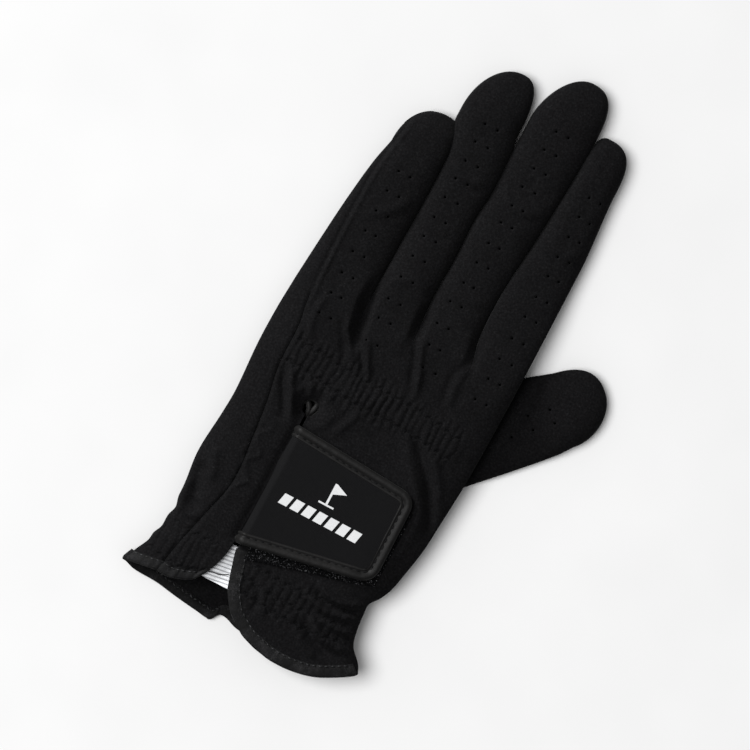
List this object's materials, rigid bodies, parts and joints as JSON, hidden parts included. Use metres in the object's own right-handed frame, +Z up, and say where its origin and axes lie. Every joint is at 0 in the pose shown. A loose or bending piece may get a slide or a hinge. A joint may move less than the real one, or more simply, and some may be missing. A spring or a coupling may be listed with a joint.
{
  "type": "golf glove",
  "caption": "Left-hand golf glove lying palm down: hollow hand, finger and thumb tubes, slit back with a hook-and-loop closure tab, bound cuff.",
  "frame": {"origin": "middle of the footprint, on the surface that the palm lies on", "axes": "+Y to the fingertips, +X to the thumb side, +Z up out of the back of the hand"},
  "size_m": [0.1359, 0.2494, 0.0179],
  "materials": {
    "suede": "black microfibre suede, matt, with a short nap",
    "knit": "black stretch knit, matt",
    "satin": "black smooth synthetic leather, satin",
    "tab_fabric": "fine black woven fabric, matt",
    "elastic": "black ribbed elastic",
    "loop": "black looped pile",
    "hook": "black moulded hooks",
    "lining": "white ribbed lining",
    "print": "silver grey transfer print"
  },
  "bodies": {
    "hand": {"back_panel": "suede", "palm_panel": "suede", "cuff_binding_back_left": "satin", "cuff_binding_back_right": "satin", "cuff_binding_palm": "satin", "keyhole_rim": "satin", "knuckle_elastic": "elastic", "wrist_elastic_right": "elastic", "wrist_elastic_left": "elastic", "slit_facing": "knit", "tab_anchor": "knit", "care_label": "lining", "loop_pad": "loop"},
    "tab": {"tab_piping": "satin", "tab_backing": "knit", "tab_hook_pad": "hook", "tab_face": "tab_fabric", "tab_emblem": "print"},
    "pinky_finger": {"pinky_back": "suede", "pinky_palm": "suede", "pinky_side_wall": "knit"},
    "ring_finger": {"ring_back": "suede", "ring_palm": "suede", "ring_left_wall": "knit", "ring_right_wall": "knit"},
    "middle_finger": {"middle_back": "suede", "middle_palm": "suede", "middle_left_wall": "knit", "middle_right_wall": "knit"},
    "index_finger": {"index_back": "suede", "index_palm": "suede", "index_side_wall": "knit"},
    "thumb": {"thumb_back": "suede", "thumb_palm": "suede", "thumb_side_wall": "knit"}
  },
  "joints": [
    {"name": "pinky_flex", "type": "hinge", "parent": "hand", "child": "pinky_finger", "pos_m": [-0.0463, 0.0089, 0.00579], "axis": [1, 0, 0], "range_deg": [-60, 25]},
    {"name": "ring_flex", "type": "hinge", "parent": "hand", "child": "ring_finger", "pos_m": [-0.0213, 0.0089, 0.00636], "axis": [1, 0, 0], "range_deg": [-60, 25]},
    {"name": "middle_flex", "type": "hinge", "parent": "hand", "child": "middle_finger", "pos_m": [0.0005, 0.0089, 0.00765], "axis": [1, 0, 0], "range_deg": [-60, 25]},
    {"name": "index_flex", "type": "hinge", "parent": "hand", "child": "index_finger", "pos_m": [0.0229, 0.0089, 0.01025], "axis": [1, 0, 0], "range_deg": [-38, 25]},
    {"name": "thumb_swing", "type": "hinge", "parent": "hand", "child": "thumb", "pos_m": [0.0231, -0.0188, 0.00305], "axis": [0, 0, 1], "range_deg": [-25, 10]},
    {"name": "tab_open", "type": "hinge", "parent": "hand", "child": "tab", "pos_m": [-0.0324, -0.06605, 0.01458], "axis": [0, -1, 0], "range_deg": [0, 150]}
  ]
}
